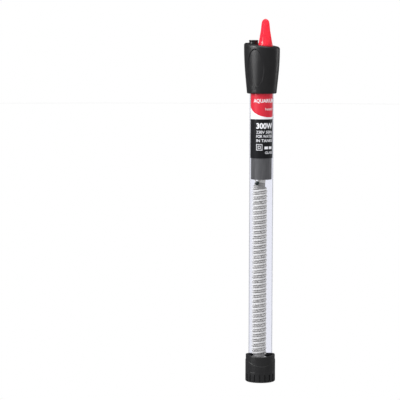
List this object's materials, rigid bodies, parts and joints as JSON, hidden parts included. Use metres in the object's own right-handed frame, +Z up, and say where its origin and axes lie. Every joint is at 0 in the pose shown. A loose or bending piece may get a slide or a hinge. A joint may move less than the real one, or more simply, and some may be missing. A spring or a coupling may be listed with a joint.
{
  "type": "submersible aquarium heater",
  "caption": "Upright glass-tube aquarium heater with an oval black head, a red adjusting knob, a wound ceramic element and a black base cap.",
  "frame": {"origin": "middle of the underside of the base cap", "axes": "+Z up along the glass tube; X is the long axis of the oval head, with the knob towards +X and the cord gland towards -X"},
  "size_m": [0.0328, 0.0274, 0.3296],
  "materials": {
    "head_black": "satin black moulded plastic",
    "gland_black": "smooth black",
    "base_black": "satin black moulded plastic",
    "knob_red": "semi-gloss red, slightly translucent",
    "clear_glass": "clear, polished",
    "printed_label": "printed film, red over white over black",
    "carrier_grey": "dark grey, matte",
    "board_brown": "phenolic board",
    "white_ceramic": "unglazed",
    "resistance_wire": "dull wound wire",
    "spring_brass": "rolled",
    "plated_steel": "nickel plated",
    "contact_silver": "silver alloy",
    "magnet_grey": "sintered",
    "black_rubber": "matte",
    "lead_sleeving": "glass-fibre sleeving",
    "dark_bead": "dark glaze",
    "lamp_glass": "neon lamp",
    "component_blue": "lacquered",
    "mineral_wool": "soft fibre"
  },
  "bodies": {
    "housing": {"head_cap": "head_black", "cord_gland": "gland_black", "head_seal_ring": "black_rubber", "tube_stopper": "black_rubber", "glass_tube": "clear_glass", "label_sleeve": "printed_label", "thermostat_carrier": "carrier_grey", "carrier_end_plug": "black_rubber", "heat_shield_disc": "white_ceramic", "thermostat_frame": "board_brown", "bimetal_bracket": "spring_brass", "fixed_contact": "contact_silver", "snap_magnet": "magnet_grey", "pilot_lamp": "lamp_glass", "lamp_resistor": "component_blue", "suppression_capacitor": "component_blue", "live_lead": "lead_sleeving", "return_lead": "lead_sleeving", "switched_lead": "lead_sleeving", "terminal_bead": "dark_bead", "ceramic_former": "white_ceramic", "heating_coil": "resistance_wire", "former_end_collar": "white_ceramic", "bottom_cushion": "mineral_wool", "base_cap": "base_black"},
    "knob": {"adjusting_knob": "knob_red", "knob_spindle": "plated_steel", "spindle_o_ring": "black_rubber", "adjusting_screw": "spring_brass"},
    "pusher": {"adjuster_pusher": "board_brown"},
    "bimetal": {"bimetal_strip": "plated_steel", "moving_contact": "contact_silver"}
  },
  "joints": [
    {"name": "knob_turn", "type": "hinge", "parent": "housing", "child": "knob", "pos_m": [0.0035, 0, 0.3035], "axis": [0, 0, 1], "range_deg": [-135, 135]},
    {"name": "pusher_slide", "type": "slide", "parent": "housing", "child": "pusher", "axis": [0, 0, 1], "range_m": [-0.0003, 0.0003]},
    {"name": "bimetal_flex", "type": "hinge", "parent": "housing", "child": "bimetal", "pos_m": [-0.003, -0.001, 0.2003], "axis": [1, 0, 0], "range_deg": [0, 2.5], "stiffness_Nm_per_rad": 0.02}
  ],
  "couplings": [
    {"joint": "pusher_slide", "follows": "knob_turn", "m_per_rad": 0.00011141}
  ]
}
